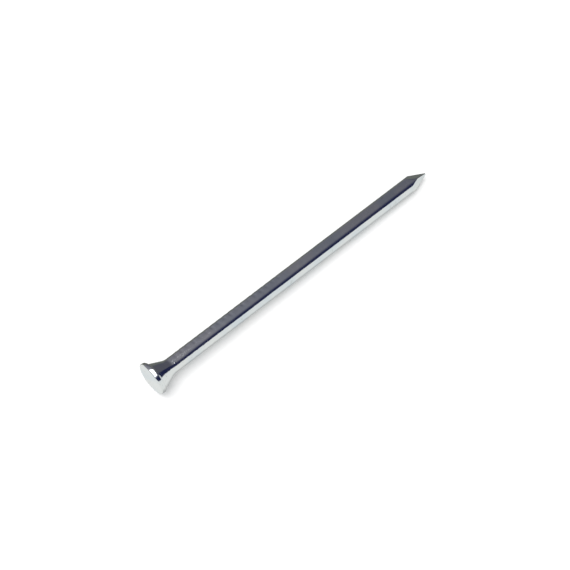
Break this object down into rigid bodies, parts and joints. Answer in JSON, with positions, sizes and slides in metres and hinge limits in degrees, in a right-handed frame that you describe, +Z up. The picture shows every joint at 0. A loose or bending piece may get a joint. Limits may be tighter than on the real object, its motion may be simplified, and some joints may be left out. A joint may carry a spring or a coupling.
{
  "type": "nail",
  "caption": "Straight round wire nail with a flat drive face, a countersunk head and a pinched diamond point, bright zinc plated.",
  "frame": {"origin": "centre of the flat drive face, where the shank's axis meets it", "axes": "+X along the shank from the drive face to the tip, +Z up as the nail lies on its side"},
  "size_m": [0.075, 0.0075, 0.0075],
  "materials": {
    "drawn_steel": "satin",
    "bright_zinc": "gloss"
  },
  "bodies": {
    "root": {"steel_core": "drawn_steel", "zinc_plating": "bright_zinc"}
  },
  "joints": []
}
